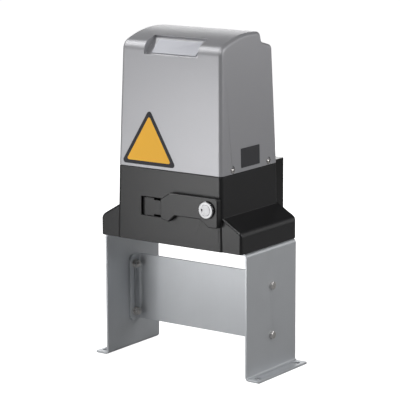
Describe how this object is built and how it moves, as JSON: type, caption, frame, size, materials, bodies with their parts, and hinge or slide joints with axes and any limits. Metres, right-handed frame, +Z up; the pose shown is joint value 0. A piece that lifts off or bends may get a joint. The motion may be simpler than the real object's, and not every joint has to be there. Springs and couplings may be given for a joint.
{
  "type": "sliding gate motor",
  "caption": "Sliding gate motor on a bent steel stand: tapered cover over a footed base, keyed release lever in front, pinion under a guard behind.",
  "frame": {"origin": "centre of the four foot bolt holes, on the ground", "axes": "+Z up, -Y to the front with the release lever, +Y to the rear with the pinion and the gate, +X to the right"},
  "size_m": [0.28, 0.1847, 0.4662],
  "materials": {
    "leg_steel": "galvanised grey",
    "zinc_bolt": "zinc plated",
    "base_black": "moulded, satin black",
    "cover_silver": "silver lacquer on a moulded cover",
    "gasket_rubber": "matt",
    "badge_white": "satin silver white",
    "label_amber": "printed film",
    "plate_dark": "printed film",
    "guard_black": "gloss black",
    "bronze": "cast and hobbed",
    "turned_steel": "ground",
    "gear_steel": "hobbed and oiled",
    "bearing_steel": "ground",
    "seal_rubber": "matt",
    "spring_steel": "oiled",
    "lever_black": "satin black",
    "lock_chrome": "polished and satin",
    "cast_alloy": "as cast",
    "core_steel": "laminated, varnished",
    "copper_wire": "enamelled copper",
    "sheet_zinc": "zinc plated sheet",
    "board_green": "solder mask",
    "terminal_green": "moulded",
    "transformer_dark": "varnished",
    "capacitor_white": "moulded can",
    "sensor_black": "moulded",
    "gland_black": "moulded"
  },
  "bodies": {
    "stand": {"left_leg": "leg_steel", "right_leg": "leg_steel", "cross_plate": "leg_steel", "cross_plate_bolts": "zinc_bolt", "cross_plate_nuts": "zinc_bolt", "base_bolts": "zinc_bolt", "base_washers": "zinc_bolt", "base_housing": "base_black", "cover_gasket": "gasket_rubber", "cover_shell": "cover_silver", "cover_screws": "zinc_bolt", "badge_plate": "badge_white", "front_label": "label_amber", "rating_plate": "plate_dark", "gear_guard": "guard_black", "guard_screws": "zinc_bolt", "shaft_bearings": "bearing_steel", "shaft_seal": "seal_rubber", "lever_hinge_pin": "turned_steel", "motor_plate": "cast_alloy", "motor_plate_screws": "zinc_bolt", "motor_shell": "cast_alloy", "motor_end_cap": "cast_alloy", "motor_tie_bolts": "zinc_bolt", "stator_core": "core_steel", "stator_windings": "copper_wire", "motor_bearings": "bearing_steel", "board_bracket": "sheet_zinc", "control_board": "board_green", "terminal_block": "terminal_green", "transformer": "transformer_dark", "run_capacitor": "capacitor_white", "limit_sensor": "sensor_black", "cable_gland": "gland_black"},
    "rotor": {"rotor_core": "core_steel", "worm_shaft": "turned_steel"},
    "wheel": {"worm_wheel": "bronze"},
    "output": {"output_shaft": "turned_steel", "shaft_keys": "turned_steel", "drive_pinion": "gear_steel", "pinion_bolt": "zinc_bolt", "clutch_spring": "spring_steel"},
    "dog": {"clutch_dog": "gear_steel"},
    "fork": {"release_fork": "turned_steel"},
    "lever": {"release_lever": "lever_black", "lock_body": "lock_chrome", "lock_nut": "zinc_bolt"},
    "lock": {"lock_plug": "lock_chrome", "lock_cam": "zinc_bolt"}
  },
  "joints": [
    {"name": "rotor_spin", "type": "hinge", "parent": "stand", "child": "rotor", "pos_m": [0.032, -0.006, 0.254], "axis": [0, 0, 1], "continuous": true},
    {"name": "wheel_spin", "type": "hinge", "parent": "stand", "child": "wheel", "pos_m": [-0.013, -0.006, 0.254], "axis": [0, 1, 0], "continuous": true},
    {"name": "output_spin", "type": "hinge", "parent": "stand", "child": "output", "pos_m": [-0.013, 0, 0.254], "axis": [0, 1, 0], "continuous": true},
    {"name": "lever_hinge", "type": "hinge", "parent": "stand", "child": "lever", "pos_m": [-0.0403, -0.0664, 0.227], "axis": [0, 0, -1], "range_deg": [0, 90]},
    {"name": "lock_turn", "type": "hinge", "parent": "lever", "child": "lock", "pos_m": [0.0694, -0.08, 0.235], "axis": [0, 1, 0], "range_deg": [0, 90]},
    {"name": "fork_slide", "type": "slide", "parent": "stand", "child": "fork", "axis": [0, 1, 0], "range_m": [0, 0.008]},
    {"name": "clutch_slide", "type": "slide", "parent": "output", "child": "dog", "axis": [0, 1, 0], "range_m": [0, 0.008]}
  ],
  "couplings": [
    {"joint": "wheel_spin", "follows": "rotor_spin", "ratio": 0.035714},
    {"joint": "output_spin", "follows": "rotor_spin", "ratio": 0.035714},
    {"joint": "fork_slide", "follows": "lever_hinge", "m_per_rad": 0.0050929},
    {"joint": "clutch_slide", "follows": "lever_hinge", "m_per_rad": 0.0050929}
  ]
}
